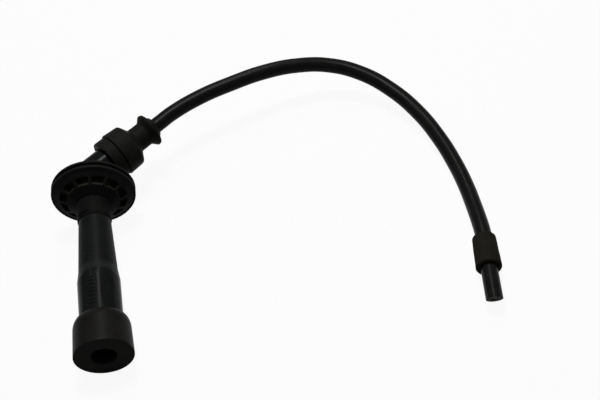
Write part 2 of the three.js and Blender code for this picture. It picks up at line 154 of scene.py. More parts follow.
class WellCoverSizes(bpy.types.PropertyGroup):
    """Sizes of the rubber cover that closes the plug well"""

    radius: length("Radius", "Outer radius of both rims", 18.45)
    thickness: length("Thickness", "Thickness over both rims", 4.1)
    groove: length("Groove", "Depth of the groove between the rims", 1.3)
    rim_width: length("Rim width", "Width of the flat front rim", 1.2)
    nose_radius: length("Nose radius", "Radius at which the cone meets the sleeve", 7.9)
    nose_depth: length("Nose depth", "Depth of the cone's nose", 5.9)
    pocket_inner: length("Pocket start", "Inner radius of the pockets", 11.5)
    pocket_outer: length("Pocket end", "Outer radius of the pockets", 14.6)
    pocket_floor: length("Pocket floor", "Height of the pockets' floor behind the front rim", 0.4)
    sleeve_radius: length("Sleeve radius", "Outer radius of the sleeve on the neck", 7.45)
    sleeve_depth: length("Sleeve depth", "Depth of the sleeve's end", 15.7)
    pockets: IntProperty(name="Pockets", description="Number of pockets", default=12, min=3)


class MouthSealSizes(bpy.types.PropertyGroup):
    """Sizes of the rubber seal on the plug's mouth"""

    top_depth: length("Top depth", "Depth of the seal's thin top edge", 67.2)
    mouth_depth: length("Mouth depth", "Depth of the flat end face", 84.3)
    shoulder_radius: length("Shoulder radius", "Radius below the rounded shoulder", 11.85)
    shoulder_length: length("Shoulder length", "Length of the rounded shoulder", 5)
    mouth_radius: length("Mouth radius", "Radius of the flat end face", 12.25)
    hole_radius: length("Hole radius", "Radius of the hole for the plug's insulator", 5.2)


class CableBootSizes(bpy.types.PropertyGroup):
    """Sizes of the rubber boot, with reaches counted from the elbow along the outlet"""

    start: length("Start", "Reach of the boot's open end", 9.2)
    step: length("Step", "Reach of the step from the collar to the body", 14.6)
    corner: length("Corner", "Reach of the body's far corner", 22.2)
    neck: length("Neck", "Reach at which the neck starts", 25.0)
    flare: length("Flare", "Reach at which the lip flares out", 31.0)
    lip: length("Lip", "Reach of the lip's widest place", 33.6)
    collar_radius: length("Collar radius", "Radius of the collar", 9.9)
    body_radius: length("Body radius", "Radius of the body behind the step", 10.55)
    corner_radius: length("Corner radius", "Radius at the body's far corner", 10.05)
    neck_radius: length("Neck radius", "Radius of the neck", 5.75)
    lip_radius: length("Lip radius", "Radius of the lip", 8.0)
    end_radius: length("End radius", "Radius of the boot's end round the cable", 4.7)


class CableSizes(bpy.types.PropertyGroup):
    """Sizes of the cable and of the sleeve near its cut end"""

    radius: length("Radius", "Radius of the cable's jacket", 3.5)
    core_radius: length("Core radius", "Radius of the conducting core", 1.2)
    total_length: length("Length", "Length of the cable, with the stretch inside the cap", 284.8)
    cut_slant: angle("Cut slant", "Slant of the cut end", 23)
    sleeve_length: length("Sleeve length", "Length of the coil sleeve", 16.5)
    sleeve_from_end: length("Sleeve from end", "Bare cable beyond the coil sleeve", 17.5)
    sleeve_radius: length("Sleeve radius", "Radius of the sleeve's narrow end", 4.95)
    sleeve_end_radius: length("Sleeve end radius", "Radius of the sleeve's wide end", 5.4)


class PlugWireFinishes(bpy.types.PropertyGroup):
    """Colours of the finishes"""

    moulding: colour("Moulding", "Hard black moulding of the cap body", (0.0068, 0.0076, 0.0072))
    cover: colour("Cover", "Rubber of the well cover", (0.0096, 0.0098, 0.0096))
    # Partly painted light: the pockets' rubber is brownish with dust, and also lighter than the cover so
    # that the pockets are lifted out of their shade
    recess: colour("Recess", "Dusty brownish rubber in the cover's pockets", (0.0170, 0.0154, 0.0114))
    seal: colour("Seal", "Rubber of the mouth seal", (0.0085, 0.0084, 0.0080))
    boot: colour("Boot", "Rubber of the cable boot", (0.0072, 0.0072, 0.0062))
    jacket: colour("Jacket", "Cable jacket", (0.0046, 0.0048, 0.0048))
    sleeve: colour("Sleeve", "Dull rubber of the coil sleeve", (0.0088, 0.0082, 0.0062))
    core: colour("Core", "Carbon-filled core of the cable", (0.030, 0.030, 0.032))
    cut: colour("Cut", "Face of the cable's cut end", (0.006, 0.006, 0.005))
    dust: colour("Dust", "Fine dust that settles on the rubber", (0.105, 0.100, 0.085))
    brass: colour("Brass", "Turned brass contacts", (0.68, 0.50, 0.24))
    steel: colour("Steel", "Drawn steel of the spring and clip", (0.55, 0.56, 0.57))
    ceramic: colour("Ceramic", "Body of the resistor", (0.72, 0.68, 0.60))
    floor: colour("Floor", "Plain pale floor", (0.66, 0.66, 0.66))


GROUPS = {
    "plug_cap": PlugCapSizes,
    "well_cover": WellCoverSizes,
    "mouth_seal": MouthSealSizes,
    "cable_boot": CableBootSizes,
    "plug_cable": CableSizes,
    "plug_finishes": PlugWireFinishes,
}


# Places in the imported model's frame

def cap_place():
    """The cap's own frame: local Y is the plug's axis, and y = 0 is the cover's front."""
    mounts = {mount["name"]: mount for mount in frame["record"]["mounts"]}
    axis = -Vector(mounts["mouth_face"]["axis"])
    lowest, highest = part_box("resistor_rod")
    on_axis = (lowest + highest) / 2
    front = Vector(mounts["cover_face"]["pos_m"])
    origin = on_axis + axis * (front - on_axis).dot(axis)
    tilt = math.atan2(axis.z, axis.y)
    roll = bpy.context.scene.plug_cap.outlet_roll
    return Matrix.Translation(origin) @ Matrix.Rotation(tilt, 4, "X") @ Matrix.Rotation(-roll, 4, "Y")


def outlet_place():
    """The outlet's frame: local Y runs from the elbow out along the cable."""
    cap = bpy.context.scene.plug_cap
    elbow = Matrix.Translation((0, cap.elbow_height, 0))
    return cap_place() @ elbow @ Matrix.Rotation(-cap.outlet_angle, 4, "Z")


def cable_route():
    """Points of the cable's centreline from its seat in the outlet to its cut end."""
    outlet = outlet_place()
    reaches = [CABLE_SEAT] + [BOOT_END_REACH + place for place in STRAIGHT_PLACES]
    return [outlet @ Vector((0, reach, 0)) for reach in reaches] + [Vector(p) for p in CABLE_POINTS]


# Modelling steps that the pieces share

def put_down():
    """Leaves edit mode and selects nothing."""
    if bpy.context.mode != "OBJECT":
        bpy.ops.object.mode_set(mode="OBJECT")
    bpy.ops.object.select_all(action="DESELECT")


def take_up(piece):
    """Makes a piece the only selected and active one."""
    put_down()
    piece.select_set(True)
    bpy.context.view_layer.objects.active = piece


def in_mm(group, *names):
    """Lengths of a property group, in mm."""
    return [getattr(group, name) / MM for name in names]


def rounded(outline, closed):
    """An outline of (radius, height, corner radius) in mm as (radius, height) points in metres.

    A corner with a radius becomes a short curve, and long stretches get points on the way."""
    count = len(outline)
    points = []
    for i, (radius, height, corner) in enumerate(outline):
        here = Vector((radius, height)) * MM
        inner = closed or 0 < i < count - 1
        if not corner or not inner:
            points.append(here)
            continue
        before = Vector(outline[i - 1][:2]) * MM - here
        after = Vector(outline[(i + 1) % count][:2]) * MM - here
        reach = corner * MM / math.tan(before.angle(after) / 2)
        reach = min(reach, before.length * 0.49, after.length * 0.49)
        start = before.normalized() * reach
        end = after.normalized() * reach
        for step in range(CORNER_STEPS + 1):
            share = step / CORNER_STEPS
            points.append(here + start * (1 - share) ** 2 + end * share ** 2)
    if closed:
        points.append(points[0])
    fine = [points[0]]
    for first, last in zip(points, points[1:]):
        steps = max(1, math.ceil((last - first).length / LONGEST_STEP))
        fine += [first.lerp(last, (k + 1) / steps) for k in range(steps)]
    return fine


def turned(name, outline, closed=True, around=AROUND):
    """A turned piece about local Y: its outline is drawn from one vertex and then spun."""
    points = rounded(outline, closed)
    put_down()
    bpy.ops.mesh.primitive_plane_add(size=MM)
    piece = bpy.context.object
    piece.name = name
    piece.data.name = name
    bpy.ops.object.mode_set(mode="EDIT")
    bpy.ops.mesh.select_mode(type="VERT")
    bpy.ops.mesh.merge(type="CENTER")
    bpy.ops.transform.translate(value=(points[0].x, points[0].y, 0))
    for here, there in zip(points, points[1:]):
        step = (there.x - here.x, there.y - here.y, 0)
        bpy.ops.mesh.extrude_vertices_move(TRANSFORM_OT_translate={"value": step})
    bpy.ops.mesh.select_all(action="SELECT")
    bpy.ops.mesh.spin(steps=around, angle=2 * math.pi, center=(0, 0, 0), axis=(0, 1, 0))
    bpy.ops.mesh.select_all(action="SELECT")
    bpy.ops.mesh.remove_doubles(threshold=WELD)
    bpy.ops.mesh.normals_make_consistent(inside=False)
    put_down()
    return piece


def pick_faces(piece, wanted):
    """Enters edit mode with only the faces selected for which wanted(centre, normal) is true."""
    take_up(piece)
    bpy.ops.object.mode_set(mode="EDIT")
    bpy.ops.mesh.select_mode(type="FACE")
    bpy.ops.mesh.select_all(action="DESELECT")
    bpy.ops.object.mode_set(mode="OBJECT")
    for face in piece.data.polygons:
        face.select = wanted(face.center, face.normal)
    bpy.ops.object.mode_set(mode="EDIT")


def apply_modifier(piece, kind, **settings):
    """Adds a modifier with its settings to a piece and applies it."""
    take_up(piece)
    modifier = piece.modifiers.new(kind.title(), kind)
    for key, value in settings.items():
        setattr(modifier, key, value)
    bpy.ops.object.modifier_apply(modifier=modifier.name)


def combine(piece, tool, operation):
    """Joins a tool to a piece or cuts it away, and clears the tool."""
    apply_modifier(piece, "BOOLEAN", operation=operation, object=tool, solver="EXACT")
    bpy.data.objects.remove(tool, do_unlink=True)


def wear_uneven(piece, height, size):
    """Moves the surface in and out by a soft cloud, as old rubber is never quite true."""
    cloud = bpy.data.textures.new(piece.name + "_unevenness", "CLOUDS")
    cloud.noise_scale = size
    apply_modifier(
        piece, "DISPLACE", texture=cloud, strength=height, mid_level=0.5, texture_coords="LOCAL"
    )


def settle(piece, place, slot, *nodes):
    """Carries a finished piece to its place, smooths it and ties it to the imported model."""
    piece.matrix_world = place
    take_up(piece)
    bpy.ops.object.transform_apply(location=True, rotation=True, scale=True)
    bpy.ops.object.shade_smooth_by_angle(angle=SMOOTH_ANGLE)
    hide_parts(*nodes)
    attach(piece, "root")


# Shader node groups that several finishes use

def add_node(tree, kind, **settings):
    """A new node with its settings."""
    item = tree.nodes.new(kind)
    for key, value in settings.items():
        setattr(item, key, value)
    return item


def new_group(name, inputs, output):
    """A shader node group of floats, with its inputs, the place on the object and its output."""
    group = bpy.data.node_groups.new(name, "ShaderNodeTree")
    for label, value in inputs.items():
        socket = group.interface.new_socket(name=label, in_out="INPUT", socket_type="NodeSocketFloat")
        socket.default_value = value
    group.interface.new_socket(name=output, in_out="OUTPUT", socket_type="NodeSocketFloat")
    given = add_node(group, "NodeGroupInput").outputs
    place = add_node(group, "ShaderNodeTexCoord").outputs["Object"]
    return group, given, place, add_node(group, "NodeGroupOutput").inputs[output]


def noise(tree, coordinates, scale, detail, roughness):
    """A noise texture; its scale is a number or a socket."""
    item = add_node(tree, "ShaderNodeTexNoise")
    item.inputs["Detail"].default_value = detail
    item.inputs["Roughness"].default_value = roughness
    tree.links.new(coordinates, item.inputs["Vector"])
    if isinstance(scale, (int, float)):
        item.inputs["Scale"].default_value = scale
    else:
        tree.links.new(scale, item.inputs["Scale"])
    return item.outputs["Fac"]


def remap(tree, value, low, high, to_low=0.0, to_high=1.0):
    """A value carried from one range to another, and held at its ends."""
    item = add_node(tree, "ShaderNodeMapRange")
    for label, number in zip(("From Min", "From Max", "To Min", "To Max"), (low, high, to_low, to_high)):
        item.inputs[label].default_value = number
    tree.links.new(value, item.inputs["Value"])
    return item.outputs["Result"]


def one_axis(tree, vector, axis):
    """One axis of a vector, as a value."""
    split = add_node(tree, "ShaderNodeSeparateXYZ")
    tree.links.new(vector, split.inputs["Vector"])
    return split.outputs[axis]


def between(tree, factor, low, high):
    """A value that a factor from 0 to 1 takes from low to high."""
    return remap(tree, factor, 0.0, 1.0, low, high)


def maths(tree, operation, first, second):
    """The result of a maths node; each value is a number or a socket."""
    item = add_node(tree, "ShaderNodeMath", operation=operation)
    for socket, value in zip(item.inputs, (first, second)):
        if isinstance(value, (int, float)):
            socket.default_value = value
        else:
            tree.links.new(value, socket)
    return item.outputs["Value"]


def mottle_group():
    """Soft cloudy patches, from 0 to 1."""
    group, given, place, amount = new_group("Mottle", {"Scale": 90.0}, "Amount")
    clouds = noise(group, place, given["Scale"], 5.0, 0.6)
    group.links.new(remap(group, clouds, 0.32, 0.68), amount)
    return group


def grain_group():
    """Height of a fine moulded grain with a softer unevenness under it."""
    group, given, place, height = new_group("Moulded Grain", {"Scale": 2200.0, "Softness": 0.5}, "Height")
    fine = noise(group, place, given["Scale"], 3.0, 0.55)
    coarse = noise(group, place, maths(group, "MULTIPLY", given["Scale"], 0.16), 3.0, 0.5)
    coarse = maths(group, "MULTIPLY", coarse, given["Softness"])
    group.links.new(maths(group, "ADD", fine, coarse), height)
    return group


def dust_group():
    """Mask of fine dust: more on what faces up, gathered in patches, with a few single specks."""
    group, given, place, mask = new_group("Settled Dust", {"Amount": 0.3, "Scale": 240.0}, "Mask")
    normal = add_node(group, "ShaderNodeNewGeometry").outputs["Normal"]
    upward = remap(group, one_axis(group, normal, "Z"), -0.1, 1.0, 0.2, 1.0)
    upward = maths(group, "POWER", upward, 2.0)
    patches = remap(group, noise(group, place, given["Scale"], 6.0, 0.7), 0.42, 0.72)
    speck_scale = maths(group, "MULTIPLY", given["Scale"], 9.0)
    specks = remap(group, noise(group, place, speck_scale, 2.0, 0.5), 0.66, 0.74)
    film = maths(group, "ADD", maths(group, "MULTIPLY", patches, 0.3), 0.45)
    both = maths(group, "MULTIPLY", maths(group, "MAXIMUM", film, specks), upward)
    group.links.new(maths(group, "MULTIPLY", both, given["Amount"]), mask)
    return group


def scuff_group():
    """Mask of thin rubbed lines that run roughly along the object's Y axis."""
    group, given, place, mask = new_group("Scuffs", {"Amount": 0.5, "Scale": 420.0}, "Mask")
    stretch = add_node(group, "ShaderNodeMapping")
    stretch.inputs["Rotation"].default_value = (0.1, 0.2, 0.12)
    stretch.inputs["Scale"].default_value = (1.0, 0.07, 1.0)
    group.links.new(place, stretch.inputs["Vector"])
    thin = remap(group, noise(group, stretch.outputs["Vector"], given["Scale"], 4.0, 0.6), 0.60, 0.66)
    where = remap(group, noise(group, place, 60.0, 2.0, 0.5), 0.45, 0.62)
    both = maths(group, "MULTIPLY", thin, where)
    group.links.new(maths(group, "MULTIPLY", both, given["Amount"]), mask)
    return group


GROUP_MAKERS = {
    "Mottle": mottle_group,
    "Moulded Grain": grain_group,
    "Settled Dust": dust_group,
    "Scuffs": scuff_group,
}


def use_group(tree, name, **values):
    """Places a shared node group, made on its first use, with its own values."""
    group = bpy.data.node_groups.get(name) or GROUP_MAKERS[name]()
    item = add_node(tree, "ShaderNodeGroup", node_tree=group)
    for label, value in values.items():
        item.inputs[label].default_value = value
    return item.outputs[0]


def blend_colours(tree, factor, first, second):
    """A mix of two colours; each is a tuple or a socket."""
    item = add_node(tree, "ShaderNodeMix", data_type="RGBA")
    tree.links.new(factor, item.inputs[0])
    for socket, value in ((item.inputs[6], first), (item.inputs[7], second)):
        if isinstance(value, tuple):
            socket.default_value = (*value, 1.0)
        else:
            tree.links.new(value, socket)
    return item.outputs[2]


def new_finish(name, **constants):
    """A material with its principled shader, whose plain values are set on its own sockets."""
    material = bpy.data.materials.new(name)
    material.use_nodes = True
    shader = material.node_tree.nodes["Principled BSDF"]
    for label, value in constants.items():
        shader.inputs[label.replace("_", " ")].default_value = value
    return material, material.node_tree, shader


def complete(tree, shader, tone, rough, relief, height):
    """Ties tone and roughness to a shader, and a bump that is as high as given where relief is 1."""
    bump = add_node(tree, "ShaderNodeBump")
    bump.inputs["Strength"].default_value = 1.0
    bump.inputs["Distance"].default_value = height
    tree.links.new(relief, bump.inputs["Height"])
    tree.links.new(bump.outputs["Normal"], shader.inputs["Normal"])
    tree.links.new(tone, shader.inputs["Base Color"])
    tree.links.new(rough, shader.inputs["Roughness"])


def shade(value, factor):
    """A colour made lighter or darker."""
    return tuple(channel * factor for channel in value)


def mottled(tree, base, scale, dark, light):
    """A cloudy mask, and the tone that it takes from a darker to a lighter shade of the base."""
    mottle = use_group(tree, "Mottle", Scale=scale)
    return mottle, blend_colours(tree, mottle, shade(base, dark), shade(base, light))


# Rubber finishes: a colour and the factor that lightens or darkens it, roughness, dust, height of
# the grain, and specular level
RUBBERS = {
    "cover_rubber": ("cover", 1.0, 0.5, 0.03, 0.05 * MM, 0.01),
    # Painted shade: the sleeve and the cone's nose get a darker copy of the cover rubber, for the shade
    # that the disc casts there
    "cover_sleeve": ("cover", 0.54, 0.5, 0.03, 0.05 * MM, 0.01),
    # Dust and painted light: the pockets' rubber, brownish and lighter than the cover to lift the pockets
    # out of their shade
    "cover_recess": ("recess", 1.0, 0.7, 0.1, 0.08 * MM, 0.01),
    "seal_rubber": ("seal", 1.0, 0.38, 0.04, 0.05 * MM, 0.022),
    # Painted light: the flat end face gets a 1.5 times lighter copy of the seal rubber with less
    # specular, so its brightness comes from the colour rather than from reflection
    "seal_face": ("seal", 1.5, 0.6, 0.03, 0.05 * MM, 0.005),
    "boot_rubber": ("boot", 1.0, 0.5, 0.04, 0.07 * MM, 0.02),
    "sleeve_rubber": ("sleeve", 1.0, 0.72, 0.07, 0.10 * MM, 0.02),
}


def rubber_finish(name):
    """Moulded rubber: cloudy tone, a fine grain, rubbed places and settled dust."""
    finishes = bpy.context.scene.plug_finishes
    tint, factor, roughness, dust, grain, specular = RUBBERS[name]
    base = shade(getattr(finishes, tint), factor)
    material, tree, shader = new_finish(name, Specular_IOR_Level=specular)
    mottle, tone = mottled(tree, base, 110.0, 0.82, 1.2)
    dusty = use_group(tree, "Settled Dust", Amount=dust, Scale=230.0)
    tone = blend_colours(tree, dusty, tone, tuple(finishes.dust))
    scuffs = use_group(tree, "Scuffs", Amount=0.18, Scale=380.0)
    rough = maths(tree, "SUBTRACT", between(tree, mottle, roughness - 0.05, roughness + 0.06), scuffs)
    relief = use_group(tree, "Moulded Grain", Scale=1900.0, Softness=1.4)
    complete(tree, shader, tone, maths(tree, "ADD", rough, dusty), relief, grain)
    return material


# Middle, half length and fading edge, along the frame's Y, of the barrel's rougher upper part and of the
# painted highlight, a lighter ring on its step
ROUGH_PART = (-1 * MM, 21 * MM, 1.5 * MM)
STEP_PAINTED_HIGHLIGHT = (-21 * MM, 1.2 * MM, 1.6 * MM)


def banded(tree, along, band, inside, outside):
    """One value inside a band and another outside it, with a fading edge between them."""
    middle, reach, fade = band
    away = maths(tree, "ABSOLUTE", maths(tree, "SUBTRACT", along, middle), 0.0)
    return remap(tree, away, reach, reach + fade, inside, outside)


def moulding_finish():
    """Hard moulding, rougher on the upper barrel, with a painted highlight as a lighter ring on the step,
    and fine scuffs.
    """
    base = bpy.context.scene.plug_finishes.moulding
    material, tree, shader = new_finish("cap_moulding", Specular_IOR_Level=0.03)
    mottle, tone = mottled(tree, base, 150.0, 0.85, 1.18)
    scuffs = use_group(tree, "Scuffs", Amount=0.5, Scale=520.0)
    tone = blend_colours(tree, scuffs, tone, shade(base, 3.2))
    along = one_axis(tree, add_node(tree, "ShaderNodeTexCoord").outputs["Object"], "Y")
    # Painted highlight: the step's cone is lighter in a ring, patchy with the mottle, in place of the
    # lamp's reflection there
    ring = banded(tree, along, STEP_PAINTED_HIGHLIGHT, 1.0, 0.0)
    ring = maths(tree, "MULTIPLY", ring, between(tree, mottle, 0.6, 1.0))
    tone = blend_colours(tree, ring, tone, shade(base, 2.1))
    rough = banded(tree, along, ROUGH_PART, 0.44, 0.19)
    rough = maths(tree, "ADD", rough, between(tree, mottle, -0.03, 0.05))
    relief = use_group(tree, "Moulded Grain", Scale=900.0, Softness=2.0)
    complete(tree, shader, tone, maths(tree, "ADD", rough, scuffs), relief, 0.012 * MM)
    return material


def jacket_finish():
    """Cable jacket: smooth extruded rubber with a narrow sheen, a cloudy tone, a fine grain and a little
    dust.
    """
    finishes = bpy.context.scene.plug_finishes
    material, tree, shader = new_finish("cable_jacket", Specular_IOR_Level=0.04)
    mottle, tone = mottled(tree, finishes.jacket, 160.0, 0.85, 1.25)
    dusty = use_group(tree, "Settled Dust", Amount=0.05, Scale=300.0)
    tone = blend_colours(tree, dusty, tone, tuple(finishes.dust))
    relief = use_group(tree, "Moulded Grain", Scale=1400.0, Softness=2.2)
    complete(tree, shader, tone, between(tree, mottle, 0.26, 0.33), relief, 0.010 * MM)
    return material


def metal_finish(name, base, roughness):
    """Turned or drawn metal with a slightly tarnished tone."""
    material, tree, shader = new_finish(name, Metallic=1.0)
    mottle, tone = mottled(tree, base, 220.0, 0.78, 1.0)
    rough = between(tree, mottle, roughness - 0.06, roughness + 0.1)
    scuffs = use_group(tree, "Scuffs", Amount=1.0, Scale=900.0)
    complete(tree, shader, tone, rough, scuffs, 0.01 * MM)
    return material


def plain_finish(name, base, roughness, grain):
    """Unglazed ceramic or carbon-filled plastic: dull, with a fine grain."""
    material, tree, shader = new_finish(name, Specular_IOR_Level=0.1)
    mottle, tone = mottled(tree, base, 260.0, 0.8, 1.0)
    rough = between(tree, mottle, roughness - 0.08, roughness + 0.08)
    relief = use_group(tree, "Moulded Grain", Scale=3000.0, Softness=0.6)
    complete(tree, shader, tone, rough, relief, grain)
    return material


def dress(piece, material):
    """Gives a piece one material, whatever it carried before."""
    piece.data.materials.clear()
    piece.data.materials.append(material)


def give_to_selected(piece, material):
    """Gives the faces that are selected in edit mode a material of their own."""
    piece.data.materials.append(material)
    piece.active_material_index = len(piece.data.materials) - 1
    bpy.ops.object.material_slot_assign()


# Stage

STAGE_SIZE = 4.0
LAMPS = (
    # name, place, aim, width, depth, power in watts
    ("overhead_lamp", (0.10, 0.18, 0.79), (0.08, 0.0, 0.0), 0.26, 0.13, 4.8),
    ("back_lamp", (0.195, 0.726, 0.993), (0.0, -0.03, 0.02), 0.13, 0.50, 3.7),
)
CAMERA_PLACE = (0.08093, -0.35571, 0.38651)
CAMERA_ELEVATION = 46.4 * DEG
CAMERA_ROLL = 12 * DEG
CAMERA_LENS = 72
CAMERA_SENSOR = 36
WORLD_STRENGTH = 0.12
FLOOR_GLOW = 0.93


def shown_directly(tree):
    """1 for camera, glossy and transmission rays, and 0 for the light that objects receive."""
    path = add_node(tree, "ShaderNodeLightPath")
    seen = maths(tree, "MAXIMUM", path.outputs["Is Camera Ray"], path.outputs["Is Glossy Ray"])
    return maths(tree, "MAXIMUM", seen, path.outputs["Is Transmission Ray"])


def make_world():
    """A dim even world that the camera sees as white behind the floor's far edge."""
    world = bpy.data.worlds.new("studio")
    bpy.context.scene.world = world
    world.use_nodes = True
    tree = world.node_tree
    background = tree.nodes["Background"]
    background.inputs["Color"].default_value = (1, 1, 1, 1)
    seen = add_node(tree, "ShaderNodeLightPath").outputs["Is Camera Ray"]
    tree.links.new(between(tree, seen, WORLD_STRENGTH, 1.0), background.inputs["Strength"])


def make_floor():
    """A pale floor that shows nearly white and keeps a faint shadow."""
    put_down()
    bpy.ops.mesh.primitive_plane_add(size=STAGE_SIZE)
    floor = bpy.context.object
    floor.name = "floor"
    material, tree, shader = new_finish("pale_floor", Roughness=0.9, Specular_IOR_Level=0.0)
    shader.inputs["Base Color"].default_value = (*bpy.context.scene.plug_finishes.floor, 1.0)
    glow = add_node(tree, "ShaderNodeEmission")
    mix = add_node(tree, "ShaderNodeMixShader")
    share = maths(tree, "MULTIPLY", shown_directly(tree), FLOOR_GLOW)
    tree.links.new(share, mix.inputs["Fac"])
    tree.links.new(shader.outputs["BSDF"], mix.inputs[1])
    tree.links.new(glow.outputs["Emission"], mix.inputs[2])
    tree.links.new(mix.outputs["Shader"], tree.nodes["Material Output"].inputs["Surface"])
    dress(floor, material)


def make_lamp(name, place, aim, width, depth, power):
    """A soft rectangular lamp turned towards its aim."""
    put_down()
    bpy.ops.object.light_add(type="AREA", location=place)
    lamp = bpy.context.object
    lamp.name = name
    lamp.data.shape = "RECTANGLE"
    lamp.data.size = width
    lamp.data.size_y = depth
    lamp.data.energy = power
    lamp.rotation_euler = (Vector(aim) - Vector(place)).to_track_quat("-Z", "Y").to_euler()


def make_camera():
    """The camera at the photo's place, looking down and rolled a little."""
    put_down()
    bpy.ops.object.camera_add(location=CAMERA_PLACE)
    camera = bpy.context.object
    camera.name = "camera"
    camera.data.sensor_width = CAMERA_SENSOR
    camera.data.lens = CAMERA_LENS
    aim = Matrix.Rotation(math.pi / 2 - CAMERA_ELEVATION, 4, "X") @ Matrix.Rotation(-CAMERA_ROLL, 4, "Z")
    camera.rotation_euler = aim.to_euler()
    bpy.context.scene.camera = camera


class PLUGWIRE_OT_stage(bpy.types.Operator):
    """Sets the camera, the pale floor, the lamps and the world"""

    bl_idname = "plugwire.stage"
    bl_label = "Stage"

    def execute(self, context):
        make_camera()
        make_world()
        make_floor()
        for lamp in LAMPS:
            make_lamp(*lamp)
        context.scene.view_settings.view_transform = "Standard"
        return {"FINISHED"}


# Cable

# Steps of the centreline between two route points, how far the cut's top edge stays short of the
# end on the jacket and on the core, and how near points along a cut are joined
ROUTE_STEPS = 8
JACKET_SETBACK = 0.1 * MM
CORE_SETBACK = 0.45 * MM
CUT_WELD = 0.08 * MM

# Width and depth of the steps from the cut's rim to the core
CUT_STEPS = ((0.35 * MM, 0.06 * MM), (1.47 * MM, 0), (0.12 * MM, 0.25 * MM))


def drawn_along(name, route, radius, resolution):
    """A round bar along the route, as a mesh, and the points of its centreline."""
    line = bpy.data.curves.new(name, "CURVE")
    line.dimensions = "3D"
    line.resolution_u = ROUTE_STEPS
    spline = line.splines.new("BEZIER")
    spline.bezier_points.add(len(route) - 1)
    for knot, place in zip(spline.bezier_points, route):
        knot.co = place
        knot.handle_left_type = "AUTO"
        knot.handle_right_type = "AUTO"
    bar = bpy.data.objects.new(name, line)
    bpy.context.scene.collection.objects.link(bar)
    centre = bar.to_mesh()
    path = [vertex.co.copy() for vertex in centre.vertices]
    bar.to_mesh_clear()
    line.bevel_depth = radius
    line.bevel_resolution = resolution
    line.use_fill_caps = True
    take_up(bar)
    bpy.ops.object.convert(target="MESH")
    bar.data.name = name
    return bar, path


def cut_end(piece, end, along, setback):
    """Cuts a cable's end on the slant, with its top edge the longer, and leaves the cut selected."""
    sizes = bpy.context.scene.plug_cable
    across = along.cross(Vector((0, 0, 1))).normalized()
    facing = Matrix.Rotation(-sizes.cut_slant, 3, across) @ along
    top = end + Vector((0, 0, sizes.radius)) - along * setback
    near = 3 * sizes.radius
    pick_faces(piece, lambda place, normal: (place - end).length < near)
    bpy.ops.mesh.bisect(plane_co=top, plane_no=facing, use_fill=True, clear_outer=True)
    bpy.ops.mesh.remove_doubles(threshold=CUT_WELD)


class PLUGWIRE_OT_cable(bpy.types.Operator):
    """Makes the cable with its jacket and core, cut on the slant at the far end"""

    bl_idname = "plugwire.cable"
    bl_label = "Cable"

    def execute(self, context):
        sizes = context.scene.plug_cable
        finishes = context.scene.plug_finishes
        route = cable_route()
        along = (route[-1] - route[-2]).normalized()
        jacket, path = drawn_along("ignition_cable", route, sizes.radius, resolution=10)
        dress(jacket, jacket_finish())
        cut_end(jacket, route[-1], along, JACKET_SETBACK)
        give_to_selected(jacket, plain_finish("cable_cut", finishes.cut, 0.8, 0.05 * MM))
        for width, depth in CUT_STEPS:
            bpy.ops.mesh.inset(thickness=width, depth=-depth)
        put_down()
        settle(jacket, Matrix.Identity(4), "cable_jacket", "cable_jacket")
        core, _ = drawn_along("cable_conductor", route, sizes.core_radius, resolution=5)
        cut_end(core, route[-1], along, CORE_SETBACK)
        put_down()
        dress(core, plain_finish("core_carbon", finishes.core, 0.7, 0.03 * MM))
        settle(core, Matrix.Identity(4), "core_carbon", "cable_core")
        return {"FINISHED"}


class PLUGWIRE_OT_coil_sleeve(bpy.types.Operator):
    """Makes the short dull rubber sleeve near the cable's cut end"""

    bl_idname = "plugwire.coil_sleeve"
    bl_label = "Coil Sleeve"

    def execute(self, context):
        sizes = context.scene.plug_cable
        cable, long, narrow, wide = in_mm(
            sizes, "radius", "sleeve_length", "sleeve_radius", "sleeve_end_radius"
        )
        bore = cable + 0.12
        sleeve = turned("coil_sleeve_rubber", [
            (bore, 0, 0),
            (bore + 0.5, 0, 0.2),
            (narrow, 0.8, 0.4),
            (narrow + 0.12, long * 0.3, 3),
            (wide, long - 0.7, 0.3),
            (wide - 0.5, long, 0.2),
            (bore, long, 0),
        ])
        wear_uneven(sleeve, height=0.16 * MM, size=4 * MM)
        dress(sleeve, rubber_finish("sleeve_rubber"))
        start, end = (Vector(point) for point in CABLE_POINTS[-2:])
        along = (end - start).normalized()
        place = end - along * (sizes.sleeve_from_end + sizes.sleeve_length)
        turn = Vector((0, 1, 0)).rotation_difference(along).to_matrix().to_4x4()
        settle(sleeve, Matrix.Translation(place) @ turn, "sleeve_rubber", "coil_sleeve")
        return {"FINISHED"}


# Cap

# Steps of the turned cover in one pocket with its rib, and in the rib alone, and the turn that
# brings the pockets from where their first face is made to where they are on the real cover
POCKET_STEPS = 10
RIB_STEPS = 2
POCKET_TURN = 7 * DEG

# The cover's rims in mm, at their edge and at the foot of the groove, and the wall of its hub
RIM_EDGE = 1.2
RIM_FOOT = 1.5
HUB_WALL = 2.7

# Where the short slot near the sleeve's end starts and ends, how far it runs round the sleeve,
# and how deep it is
SLOT_START = -14.2 * MM
SLOT_END = -13.6 * MM
SLOT_TURN = (-52 * DEG, -3 * DEG)
SLOT_SINK = 0.5 * MM

# The bores in mm: depth of the contact's seat and of its bore's end, radius of its bore, height of
# the narrow bore's end in the elbow; radii of the bores for screw and cable, and the latter's start
CONTACT_SEAT = 47.5
CONTACT_BORE_END = 35.3
CONTACT_BORE = 5.1
ELBOW_BORE_TOP = 15.3
SCREW_BORE = 1.8
CABLE_BORE = 3.8
CABLE_BORE_START = 9.2

